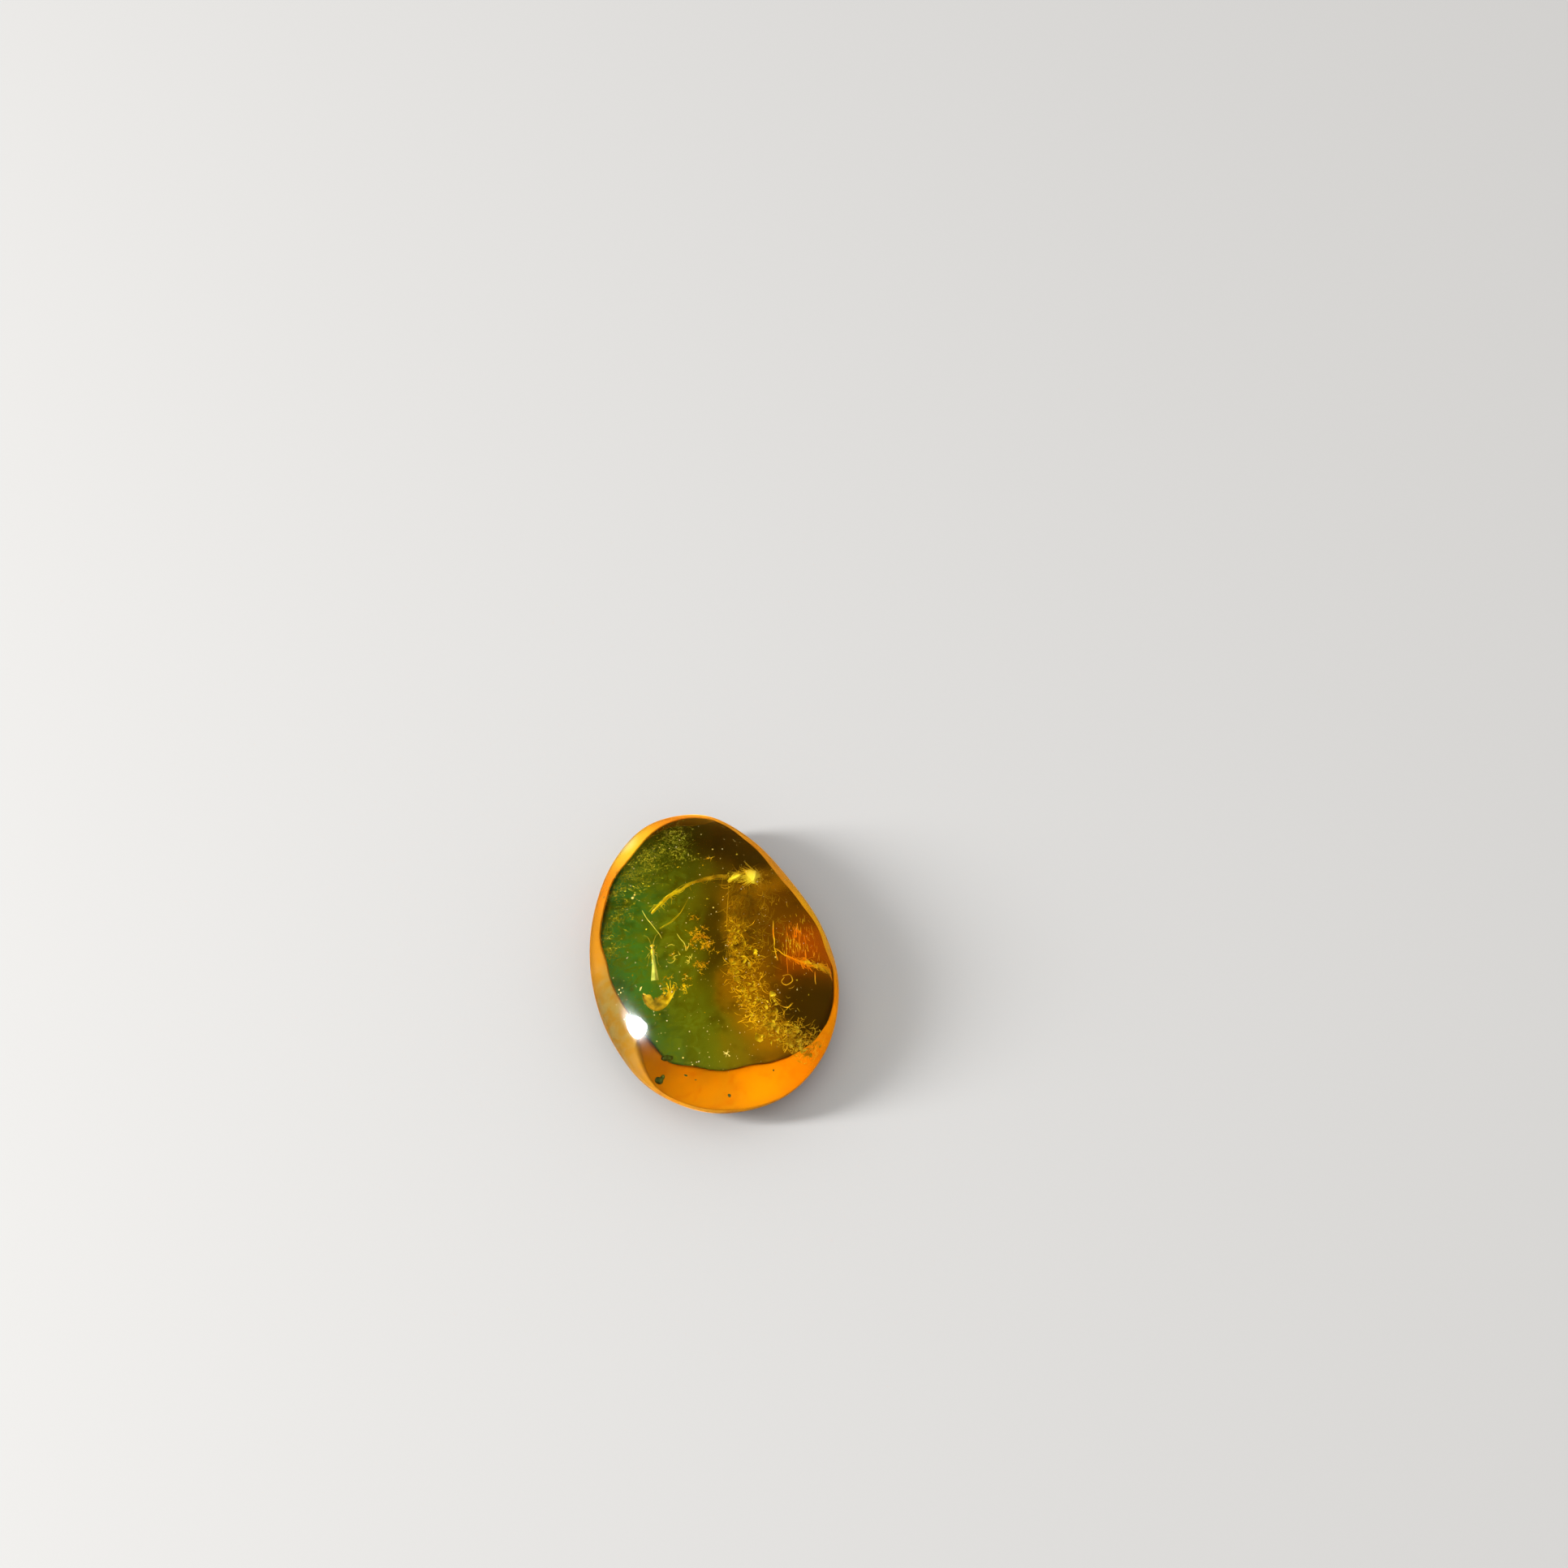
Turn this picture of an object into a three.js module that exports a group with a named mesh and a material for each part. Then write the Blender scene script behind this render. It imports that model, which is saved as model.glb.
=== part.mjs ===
// A pebble of amber, cut flat underneath and polished to a low dome on top.
// Millimetres, +Z up. The origin is on the resting face, under the middle of the stone.
import * as THREE from "three";

// Heights above the resting face.
const HEIGHT = 6.0; // top of the dome
const GIRDLE_HEIGHT = 1.9; // the widest line round the stone

// The stone's outline seen from above, at the girdle, anticlockwise from the right-hand side.
const OUTLINE = [
  [7.7, -1.2],
  [6.8, 2.3],
  [4.9, 5.6],
  [2.4, 8.7],
  [-0.6, 10.5],
  [-4.1, 9.8],
  [-6.4, 6.9],
  [-7.6, 2.3],
  [-7.4, -1.8],
  [-6.1, -5.6],
  [-3.7, -8.8],
  [0.2, -10.4],
  [4.3, -9.3],
  [6.9, -6.0],
];

// How the section falls away from the girdle: a superellipse above it and another below.
const DOME_POWER = 2.25; // 2 is an ellipse, more is flatter on top with a fuller shoulder
const UNDERCUT_POWER = 1.8;
const BASE_SHARE = 0.74; // the resting face's share of the outline
const BASE_SHIFT = new THREE.Vector2(0.1, 1.1); // its middle, from the outline's

// The low dome's highest point stands a little off the outline's middle.
const CROWN_SHIFT = new THREE.Vector2(-0.4, 0.3);

// A facet rubbed on the right-hand shoulder.
const FACET_NORMAL = new THREE.Vector3(0.85, 0.12, 0.5).normalize();
const FACET_POINT = new THREE.Vector3(6.45, 1.0, 3.8);
const FACET_SOFTNESS = 0.12;

// Fineness of the mesh.
const AROUND = 108;
const DOME_RINGS = 26;
const WALL_RINGS = 9;
const BASE_RINGS = 4;

const outline = new THREE.CatmullRomCurve3(
  OUTLINE.map(([x, y]) => new THREE.Vector3(x, y, 0)),
  true,
  "centripetal",
);

// One ring's share of the outline, its height, and how far its middle is moved.
function ring(share, z, shift, shiftShare) {
  return { share, z, x: shift.x * shiftShare, y: shift.y * shiftShare };
}

// The rings from the middle of the resting face, out, up round the girdle and in to the crown.
function sectionRings() {
  const rings = [];
  for (let i = 1; i <= BASE_RINGS; i++) {
    rings.push(ring((BASE_SHARE * i) / BASE_RINGS, 0, BASE_SHIFT, 1));
  }
  for (let i = 1; i < WALL_RINGS; i++) {
    const angle = (i / WALL_RINGS) * (Math.PI / 2);
    const out = Math.sin(angle) ** (2 / UNDERCUT_POWER);
    const drop = Math.cos(angle) ** (2 / UNDERCUT_POWER);
    const share = BASE_SHARE + (1 - BASE_SHARE) * out;
    rings.push(ring(share, GIRDLE_HEIGHT * (1 - drop), BASE_SHIFT, 1 - out));
  }
  for (let i = 0; i < DOME_RINGS; i++) {
    const angle = (i / DOME_RINGS) * (Math.PI / 2);
    const share = Math.cos(angle) ** (2 / DOME_POWER);
    const rise = Math.sin(angle) ** (2 / DOME_POWER);
    const z = GIRDLE_HEIGHT + (HEIGHT - GIRDLE_HEIGHT) * rise;
    rings.push(ring(share, z, CROWN_SHIFT, rise));
  }
  return rings;
}

// Slides a point that stands proud of the facet's plane back on to it, with a soft edge.
function rubFacet(point) {
  const proud = point.clone().sub(FACET_POINT).dot(FACET_NORMAL);
  const removed = FACET_SOFTNESS * Math.log1p(Math.exp(proud / FACET_SOFTNESS));
  return point.addScaledVector(FACET_NORMAL, -removed);
}

// Moves the stone sideways so that its bounding box is centred over the origin.
function standOverOrigin(geometry) {
  geometry.computeBoundingBox();
  const middle = geometry.boundingBox.getCenter(new THREE.Vector3());
  geometry.translate(-middle.x, -middle.y, 0);
}

function pebbleGeometry() {
  const rings = sectionRings();
  const points = [new THREE.Vector3(BASE_SHIFT.x, BASE_SHIFT.y, 0)];
  for (const { share, z, x, y } of rings) {
    for (let i = 0; i < AROUND; i++) {
      const p = outline.getPoint(i / AROUND).multiplyScalar(share);
      points.push(new THREE.Vector3(p.x + x, p.y + y, z));
    }
  }
  points.push(new THREE.Vector3(CROWN_SHIFT.x, CROWN_SHIFT.y, HEIGHT));
  for (const p of points) {
    if (p.z > 0) rubFacet(p);
  }

  const top = points.length - 1;
  const at = (row, i) => 1 + row * AROUND + (i % AROUND);
  const faces = [];
  for (let i = 0; i < AROUND; i++) {
    faces.push(0, at(0, i + 1), at(0, i));
    for (let row = 0; row < rings.length - 1; row++) {
      const [a, b] = [at(row, i), at(row, i + 1)];
      const [c, d] = [at(row + 1, i + 1), at(row + 1, i)];
      faces.push(a, b, c, a, c, d);
    }
    faces.push(at(rings.length - 1, i), at(rings.length - 1, i + 1), top);
  }
  const geometry = new THREE.BufferGeometry().setFromPoints(points);
  geometry.setIndex(faces);
  standOverOrigin(geometry);
  geometry.computeVertexNormals();
  return geometry;
}

const amber = new THREE.MeshStandardMaterial({
  color: 0xe07a10,
  roughness: 0.08,
  metalness: 0,
});

const pebble = new THREE.Mesh(pebbleGeometry(), amber);
pebble.name = "amber_pebble";

const insectInAmber = new THREE.Group();
insectInAmber.add(pebble);

export default insectInAmber;
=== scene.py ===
"""An insect and forest debris sealed in a polished amber pebble, on a pale studio floor."""

import math
import random

import bmesh
import bpy
from mathutils import Matrix, Vector, noise
from mathutils.bvhtree import BVHTree


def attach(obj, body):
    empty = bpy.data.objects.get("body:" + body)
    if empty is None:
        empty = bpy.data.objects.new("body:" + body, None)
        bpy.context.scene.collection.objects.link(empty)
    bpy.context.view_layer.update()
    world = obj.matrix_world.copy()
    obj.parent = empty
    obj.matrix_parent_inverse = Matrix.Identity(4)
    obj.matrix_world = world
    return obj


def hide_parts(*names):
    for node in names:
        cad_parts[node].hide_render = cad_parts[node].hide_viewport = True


MM = 0.001  # every shape is built in millimetres and scaled to metres at the end
UP = Vector((0, 0, 1))


# ---- Building shapes ----


def add_mesh(name, bm, *materials):
    """Makes a smooth-shaded object from a bmesh built in millimetres."""
    for face in bm.faces:
        face.smooth = True
    mesh = bpy.data.meshes.new(name)
    bm.to_mesh(mesh)
    bm.free()
    mesh.transform(Matrix.Scale(MM, 4))
    for material in materials:
        mesh.materials.append(material)
    obj = bpy.data.objects.new(name, mesh)
    bpy.context.scene.collection.objects.link(obj)
    return obj


def curve_through(points, steps=6, closed=False):
    """A Catmull-Rom curve through the points, with that many steps between two of them."""
    points = [Vector(p) for p in points]
    n = len(points)

    def at(i):
        return points[i % n] if closed else points[min(max(i, 0), n - 1)]

    path = []
    for i in range(n if closed else n - 1):
        a, b, c, d = at(i - 1), at(i), at(i + 1), at(i + 2)
        for step in range(steps):
            t = step / steps
            path.append(
                0.5 * (2 * b + (c - a) * t + (2 * a - 5 * b + 4 * c - d) * t**2
                       + (3 * b - a - 3 * c + d) * t**3)
            )
    return path if closed else path + [points[-1]]


def skin_rings(bm, rings, start, end):
    """Joins rings of vertices into a tube, closed to a tip at its start and at its end."""
    n = len(rings[0])
    first_tip = bm.verts.new(start)
    last_tip = bm.verts.new(end)
    for i in range(n):
        j = (i + 1) % n
        bm.faces.new((first_tip, rings[0][j], rings[0][i]))
        bm.faces.new((last_tip, rings[-1][i], rings[-1][j]))
        for first, second in zip(rings, rings[1:]):
            bm.faces.new((first[i], first[j], second[j], second[i]))


def thread(bm, path, thickness, sides=5, flatness=1.0):
    """A closed fibre along a path. thickness(t) is its radius at the share t of its length."""
    rings = []
    across = None
    for i, point in enumerate(path):
        ahead = (path[min(i + 1, len(path) - 1)] - path[max(i - 1, 0)]).normalized()
        if across is None:
            across = ahead.orthogonal().normalized()
        across = (across - ahead * across.dot(ahead)).normalized()
        beside = ahead.cross(across)
        radius = thickness(i / (len(path) - 1))
        ring = []
        for k in range(sides):
            angle = 2 * math.pi * k / sides
            offset = across * math.cos(angle) + beside * math.sin(angle) * flatness
            ring.append(bm.verts.new(point + offset * radius))
        rings.append(ring)
    skin_rings(bm, rings, path[0], path[-1])


def tapered(thick, thin=0.35):
    """A fibre's radius: full in the middle, thinner at both ends."""
    return lambda t: thick * (thin + (1 - thin) * math.sin(math.pi * t) ** 0.7)


def between(rng, *ranges):
    """One random number from each of these ranges."""
    return [rng.uniform(low, high) for low, high in ranges]


def scatter(rng, x, y, z):
    """A random offset that spreads this far along each axis."""
    return Vector([rng.gauss(0, spread) if spread else 0 for spread in (x, y, z)])


def curl(rng, start, heading, length, bend, steps=10, flat=0.5):
    """A fibre's path that wanders from a start point. bend is how sharply it turns."""
    path = [Vector(start)]
    heading = Vector(heading).normalized()
    turn = Vector(between(rng, (-1, 1), (-1, 1), (-1, 1)))
    for _ in range(steps):
        turn += scatter(rng, 0.4, 0.4, 0.4)
        heading = (heading + heading.cross(turn) * bend).normalized()
        move = heading * (length / steps)
        move.z *= flat
        path.append(path[-1] + move)
    return path


def streak(bm, rng, start, end, width):
    """One straight, slightly wavering rib of a fracture surface."""
    a, b = Vector(start), Vector(end)
    points = [a.lerp(b, t) + scatter(rng, 0.012, 0.012, 0.012) for t in (0, 0.25, 0.5, 0.75, 1)]
    thread(bm, curve_through(points, 4), tapered(width, 0.3), sides=4, flatness=0.3)


def hair(bm, rng, start, heading, lengths, bend, thick):
    """A wandering fibre of a random length between two."""
    path = curl(rng, start, heading, rng.uniform(*lengths), bend)
    thread(bm, path, tapered(thick), 4)


def ball(bm, centre, radius, stretch=(1, 1, 1), turn=0.0, detail=2):
    """A rounded grain, stretched along its own axes and turned about the vertical."""
    place = Matrix.Translation(centre) @ Matrix.Rotation(turn, 4, "Z")
    place = place @ Matrix.Diagonal((*stretch, 1))
    bmesh.ops.create_icosphere(bm, subdivisions=detail, radius=radius, matrix=place)


def flake(bm, rng, centre, size, normal, thickness=0.02, corners=8):
    """A thin, slightly cupped scrap with a ragged outline."""
    normal = Vector(normal).normalized()
    across = normal.orthogonal().normalized()
    beside = normal.cross(across)
    centre = Vector(centre)
    stretch = rng.uniform(0.25, 0.8)
    spun = Matrix.Rotation(rng.uniform(0, 2 * math.pi), 3, normal)
    across, beside = spun @ across, spun @ beside
    rim = []
    for k in range(corners):
        angle = 2 * math.pi * k / corners
        outward = across * math.cos(angle) + beside * math.sin(angle) * stretch
        reach = size * rng.uniform(0.4, 1.25)
        cup = normal * rng.uniform(-0.25, 0.45) * size
        rim.append(centre + outward * reach + cup)
    half = normal * (thickness / 2)
    upper = [bm.verts.new(p + half) for p in rim]
    lower = [bm.verts.new(p - half) for p in rim]
    top = bm.verts.new(centre + half)
    bottom = bm.verts.new(centre - half)
    for i in range(corners):
        j = (i + 1) % corners
        bm.faces.new((top, upper[i], upper[j]))
        bm.faces.new((bottom, lower[j], lower[i]))
        bm.faces.new((upper[i], lower[i], lower[j], upper[j]))


def sheet(bm, rows, thickness):
    """A closed thin sheet through rows of points, each row as long as the next."""
    across = len(rows[0])
    upper, lower = [], []
    for i, row in enumerate(rows):
        halves = []
        for j in range(across):
            along = rows[min(i + 1, len(rows) - 1)][j] - rows[max(i - 1, 0)][j]
            side = row[min(j + 1, across - 1)] - row[max(j - 1, 0)]
            halves.append(along.cross(side).normalized() * (thickness / 2))
        upper.append([bm.verts.new(point + half) for point, half in zip(row, halves)])
        lower.append([bm.verts.new(point - half) for point, half in zip(row, halves)])
    for i in range(len(rows) - 1):
        for j in range(across - 1):
            bm.faces.new((upper[i][j], upper[i + 1][j], upper[i + 1][j + 1], upper[i][j + 1]))
            bm.faces.new((lower[i][j], lower[i][j + 1], lower[i + 1][j + 1], lower[i + 1][j]))

    def edge(side):
        far, near = [row[-1] for row in side[1:]], [row[0] for row in side[-2:0:-1]]
        return side[0] + far + side[-1][-2::-1] + near

    top, bottom = edge(upper), edge(lower)
    for i in range(len(top)):
        bm.faces.new((top[i - 1], top[i], bottom[i], bottom[i - 1]))


# ---- Materials ----


def new_material(name, roughness, inputs=()):
    """Returns a node material and its Principled shader, with the values of its inputs."""
    material = bpy.data.materials.new(name)
    material.use_nodes = True
    shader = material.node_tree.nodes["Principled BSDF"]
    shader.inputs["Roughness"].default_value = roughness
    for key, value in dict(inputs).items():
        shader.inputs[key].default_value = value
    return material, shader


def add_node(tree, kind, settings=(), inputs=()):
    """Adds a shader node with its settings and the values of its inputs."""
    made = tree.nodes.new(kind)
    for key, value in dict(settings).items():
        setattr(made, key, value)
    for key, value in dict(inputs).items():
        made.inputs[key].default_value = value
    return made


def link(source, target):
    """Joins an output socket to an input socket."""
    target.id_data.links.new(source, target)


def axes_of(place):
    """The x, y and z of a place."""
    parts = add_node(place.id_data, "ShaderNodeSeparateXYZ")
    link(place, parts.inputs[0])
    return parts.outputs["X"], parts.outputs["Y"], parts.outputs["Z"]


def feed(socket, value):
    """Links an input to another node's output, or gives it a plain value."""
    if isinstance(value, bpy.types.NodeSocket):
        link(value, socket)
    else:
        socket.default_value = value


def maths(operation, first, second):
    """A maths node on a socket and a second value, which may be a plain number."""
    made = add_node(first.id_data, "ShaderNodeMath", {"operation": operation})
    feed(made.inputs[0], first)
    feed(made.inputs[1], second)
    return made.outputs["Value"]


def vector_maths(operation, *vectors):
    """A vector maths node on a socket and others, which may be plain vectors."""
    made = add_node(vectors[0].id_data, "ShaderNodeVectorMath", {"operation": operation})
    for socket, vector in zip(made.inputs, vectors):
        feed(socket, vector)
    return made.outputs["Vector"]


def millimetres(material):
    """The object's own coordinates in millimetres."""
    coordinates = add_node(material.node_tree, "ShaderNodeTexCoord")
    scale = (1 / MM, 1 / MM, 1 / MM)
    return vector_maths("MULTIPLY", coordinates.outputs["Object"], scale)


def noise_at(vector, scale, detail=3.0, distortion=0.0):
    """A noise texture's value, with features about 1/scale millimetres across."""
    shape = {"Scale": scale, "Detail": detail, "Distortion": distortion}
    texture = add_node(vector.id_data, "ShaderNodeTexNoise", inputs=shape)
    link(vector, texture.inputs["Vector"])
    return texture.outputs["Fac"]


def ramp(value, low, high, to_low=0.0, to_high=1.0):
    """Eases a value from one range into another."""
    limits = {"From Min": low, "From Max": high, "To Min": to_low, "To Max": to_high}
    easing = {"interpolation_type": "SMOOTHSTEP"}
    mapped = add_node(value.id_data, "ShaderNodeMapRange", easing, limits)
    link(value, mapped.inputs["Value"])
    return mapped.outputs["Result"]


def mix(share, first, second):
    """Mixes two colours. Either may be a socket or a plain colour."""
    made = add_node(share.id_data, "ShaderNodeMix", {"data_type": "RGBA"})
    link(share, made.inputs[0])
    for socket, value in ((made.inputs[6], first), (made.inputs[7], second)):
        feed(socket, (*value, 1) if isinstance(value, tuple) else value)
    return made.outputs[2]


def blot(place, centre, reach, soft):
    """1 inside an oval seen from above, easing to 0 outside it."""
    offset = vector_maths("SUBTRACT", place, (*centre, 0))
    squeezed = vector_maths("MULTIPLY", offset, (1 / reach[0], 1 / reach[1], 0))
    away = add_node(place.id_data, "ShaderNodeVectorMath", {"operation": "LENGTH"})
    link(squeezed, away.inputs[0])
    return ramp(away.outputs["Value"], 1 + soft, 1 - soft)


def blotted(place, colour, blots, soft=0.8):
    """Lays oval patches of other colours over a colour, each as strong as its last number."""
    for shade, centre, reach, strength in blots:
        patch = blot(place, centre, reach, soft)
        colour = mix(maths("MULTIPLY", patch, strength), colour, shade)
    return colour


def roughen(shader, height, strength, distance):
    """Shades the surface as if this height, up to a distance in millimetres, stood on it."""
    reach = {"Strength": strength, "Distance": distance * MM}
    bump = add_node(height.id_data, "ShaderNodeBump", inputs=reach)
    link(height, bump.inputs["Height"])
    link(bump.outputs["Normal"], shader.inputs["Normal"])


def mottled(name, dark, light, scale, roughness=0.5, bump=0.3, metallic=0.0):
    """A material that wanders between two colours, with a matching grain."""
    material, shader = new_material(name, roughness, {"Metallic": metallic})
    place = millimetres(material)
    cloud = noise_at(place, scale)
    colour = mix(ramp(cloud, 0.35, 0.65), dark, light)
    link(colour, shader.inputs["Base Color"])
    roughen(shader, noise_at(place, scale * 4), bump, 0.02)
    return material


def graded(name, left, right, start, end):
    """Mottled in one pair of colours up to x = start, and in another from x = end on."""
    material, shader = new_material(name, 0.25)
    place = millimetres(material)
    mottle = ramp(noise_at(place, 2.0), 0.3, 0.7)
    x, _, _ = axes_of(place)
    share = ramp(x, start, end)
    colour = mix(share, mix(mottle, *left), mix(mottle, *right))
    link(colour, shader.inputs["Base Color"])
    return material


# ---- The stone ----

AMBER_IOR = 1.54
AMBER_TINT = (1.0, 0.98, 0.88, 1)
AMBER_ROUGHNESS = 0.02
ABSORPTION_COLOUR = (0.985, 0.88, 0.07, 1)
ABSORPTION_DENSITY = 400.0

# The orange light that gathers round the edge of a polished stone.
EDGE_GLOW = 1.0
EDGE_GLOW_SOFTNESS = 0.24
EDGE_GLOW_TINT = (1.0, 0.4, 0.03, 1)

# The faint halo that fine polishing scratches leave round a highlight.
POLISH_HALO = 0.6
POLISH_HALO_ROUGHNESS = 0.15


def amber_material():
    """Clear polished resin that takes up blue light and some green."""
    looks = {
        "Base Color": AMBER_TINT,
        "IOR": AMBER_IOR,
        "Transmission Weight": 1.0,
        "Sheen Weight": EDGE_GLOW,
        "Sheen Roughness": EDGE_GLOW_SOFTNESS,
        "Sheen Tint": EDGE_GLOW_TINT,
        "Coat Weight": POLISH_HALO,
        "Coat Roughness": POLISH_HALO_ROUGHNESS,
    }
    material, shader = new_material("amber_resin", AMBER_ROUGHNESS, looks)
    place = millimetres(material)
    roughen(shader, noise_at(place, 0.6, detail=1.0), 0.15, 0.1)
    tree = material.node_tree
    depth = {"Color": ABSORPTION_COLOUR, "Density": ABSORPTION_DENSITY}
    absorption = add_node(tree, "ShaderNodeVolumeAbsorption", inputs=depth)
    output = tree.nodes["Material Output"]
    link(absorption.outputs["Volume"], output.inputs["Volume"])
    return material


def stone_bmesh(cad_node):
    """The CAD stone as a bmesh in millimetres."""
    bm = bmesh.new()
    bm.from_mesh(cad_node.data)
    bm.transform(Matrix.Scale(1 / MM, 4))
    return bm


def amber_skin(cad_node):
    """The stone, smoothed from the faceted CAD solid."""
    bm = stone_bmesh(cad_node)
    bmesh.ops.remove_doubles(bm, verts=bm.verts, dist=0.001)
    bmesh.ops.join_triangles(
        bm, faces=bm.faces, angle_face_threshold=math.pi, angle_shape_threshold=math.pi
    )
    skin = add_mesh("amber_skin", bm, amber_material())
    skin.modifiers.new("finer", "SUBSURF").levels = 2
    graph = bpy.context.evaluated_depsgraph_get()
    smoothed = bpy.data.meshes.new_from_object(skin.evaluated_get(graph))
    skin.modifiers.clear()
    skin.data = smoothed
    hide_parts("amber_pebble")
    return skin


INCLUSION_DEPTH = 0.26  # insect and debris that lie nearer the CAD surface are drawn in to this


def keep_inside(obj, surface, depth):
    """Draws in every point of an inclusion that lies nearer the surface than this depth."""
    for vertex in obj.data.vertices:
        point = vertex.co / MM
        nearest, normal, _, _ = surface.find_nearest(point)
        if (point - nearest).dot(normal) > -depth:
            vertex.co = (nearest - normal * depth) * MM


# ---- The cloudy layer near the resting face ----

HAZE_EDGE = [
    (5.8, 0.4), (5.2, 2.8), (3.6, 5.7), (1.8, 8.4), (-1.2, 9.6), (-3.7, 8.6), (-4.9, 6.0),
    (-5.5, 3.2), (-5.5, 0.6), (-4.8, -2.0), (-4.0, -3.5), (-3.1, -4.8), (-2.2, -5.9),
    (-0.9, -6.3), (0.4, -6.6), (1.9, -6.3), (3.2, -6.0), (4.3, -5.3), (5.2, -4.2), (5.7, -2.4),
]
HAZE_HEIGHT = 0.35
HAZE_THICKNESS = 0.1
HAZE_SWELL = 0.05  # how far it waves up and down
# From its middle out: share of its outline, and share of its thickness.
HAZE_RINGS = ((0.15, 1.0), (0.35, 1.0), (0.55, 1.0), (0.75, 1.0), (0.9, 0.85), (0.97, 0.55))

# Seen through the amber these read as leaf green, olive, gold and brown; the bright gold and the
# ember orange are painted glow, and the near-black brown is painted shade and dark mottling.
HAZE_GREEN = (0.07, 0.42, 0.95)
HAZE_LEAF = (0.14, 0.32, 0.26)
HAZE_OLIVE = (0.075, 0.135, 0.07)
HAZE_GOLD = (0.18, 0.12, 0.03)
HAZE_PAINTED_GLOW = (0.46, 0.3, 0.04)
HAZE_BROWN = (0.15, 0.09, 0.025)
HAZE_PAINTED_EMBER_GLOW = (0.52, 0.14, 0.015)
HAZE_SHADE_AND_DARK = (0.012, 0.008, 0.006)
# Cloudy patches, among them painted glow and painted shade: colour, middle, reach each way in mm,
# and strength.
HAZE_BLOTS = (
    (HAZE_LEAF, (-0.6, -4.6), (3.0, 2.6), 0.15),
    (HAZE_LEAF, (-3.4, 7.0), (1.6, 1.8), 0.6),
    (HAZE_GOLD, (1.5, 3.2), (1.0, 2.2), 0.8),
    (HAZE_GOLD, (1.4, -1.6), (1.0, 2.0), 0.7),
    (HAZE_GOLD, (3.0, -4.6), (1.8, 0.9), 0.6),
    (HAZE_PAINTED_EMBER_GLOW, (4.8, 0.9), (1.2, 1.8), 0.75),
    (HAZE_PAINTED_GLOW, (2.2, 5.3), (1.0, 0.8), 0.7),
    (HAZE_PAINTED_GLOW, (2.1, -1.6), (1.0, 2.2), 0.25),
    (HAZE_PAINTED_GLOW, (3.4, -4.2), (1.6, 0.8), 0.35),
    (HAZE_SHADE_AND_DARK, (1.1, 7.9), (3.1, 2.4), 1.0),
    (HAZE_SHADE_AND_DARK, (5.0, -3.0), (1.4, 2.4), 0.9),
    (HAZE_SHADE_AND_DARK, (-0.2, 1.6), (0.7, 3.2), 0.75),
    (HAZE_SHADE_AND_DARK, (-2.4, 5.8), (0.9, 0.9), 0.25),
)


def haze_material():
    """Green on the left, olive in the middle, brown on the right, with painted glow, painted
    shadows and dark mottling.
    """
    material, shader = new_material("haze_cloud", 0.85)
    place = millimetres(material)
    drift_shape = {"Scale": 0.35, "Detail": 4.0}
    drift = add_node(material.node_tree, "ShaderNodeTexNoise", inputs=drift_shape)
    link(place, drift.inputs["Vector"])
    centred = vector_maths("SUBTRACT", drift.outputs["Color"], (0.5, 0.5, 0.5))
    swirled = vector_maths("MULTIPLY_ADD", centred, (3.0, 3.0, 0), place)
    x, y, _ = axes_of(swirled)
    across = maths("ADD", x, maths("MULTIPLY", y, 0.12))
    colour = mix(ramp(across, -4.6, -1.8), HAZE_GREEN, HAZE_OLIVE)
    colour = mix(ramp(across, -1.2, 2.4), colour, HAZE_BROWN)
    # Cloudy patches laid over it, with painted glow and painted shade among them.
    colour = blotted(swirled, colour, HAZE_BLOTS, soft=0.6)
    cloud = noise_at(place, 1.6, detail=6.0, distortion=0.6)
    patchy = ramp(cloud, 0.42, 0.66, 0.0, 0.7)
    leafy = maths("MULTIPLY", patchy, ramp(across, -0.8, -2.4))
    colour = mix(leafy, colour, HAZE_LEAF)
    # Random dark mottling, in the same near-black as the painted shade.
    gloom = ramp(noise_at(place, 0.9, detail=5.0), 0.52, 0.75, 0.0, 0.45)
    colour = mix(gloom, colour, HAZE_SHADE_AND_DARK)
    link(colour, shader.inputs["Base Color"])
    return material


def haze_layer():
    """A thin cloudy lens that follows the resting face, a little above it."""
    bm = bmesh.new()
    edge = curve_through([(x, y, 0) for x, y in HAZE_EDGE], closed=True)
    middle = sum(edge, Vector()) / len(edge)
    n = len(edge)

    def ring(share, height):
        points = []
        for p in edge:
            spot = middle.lerp(p, share)
            swell = HAZE_SWELL * noise.noise(spot * 0.6)
            points.append(bm.verts.new((spot.x, spot.y, HAZE_HEIGHT + swell + height)))
        return points

    rim = ring(1.0, 0)
    for side in (1, -1):
        half = side * HAZE_THICKNESS / 2
        rows = [ring(share, half * fullness) for share, fullness in HAZE_RINGS] + [rim]
        hub = bm.verts.new((middle.x, middle.y, HAZE_HEIGHT + half))
        for i in range(n):
            j = (i + 1) % n
            bm.faces.new((hub, rows[0][i], rows[0][j])[::side])
            for inner, outer in zip(rows, rows[1:]):
                bm.faces.new((inner[i], outer[i], outer[j], inner[j])[::side])
    underside = mottled("haze_underside", (0.42, 0.2, 0.04), (0.62, 0.33, 0.07), 0.4, 0.7)
    layer = add_mesh("haze_layer", bm, haze_material(), underside)
    for face in layer.data.polygons:
        face.material_index = int(face.normal.z < 0)
    return layer


# ---- The cloudy rim ----

RIM_MIDDLE = Vector((0.1, 1.0, 0))
RIM_FOOT = 0.22
RIM_STEPS = 8
RIM_LIP_STEPS = 3
RIM_LIP_SLOPE = 0.1
RIM_LIP_TURN = 0.4
RIM_LIP_RISES = math.radians(200)  # where the lip climbs inwards most; opposite, it drops
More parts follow.
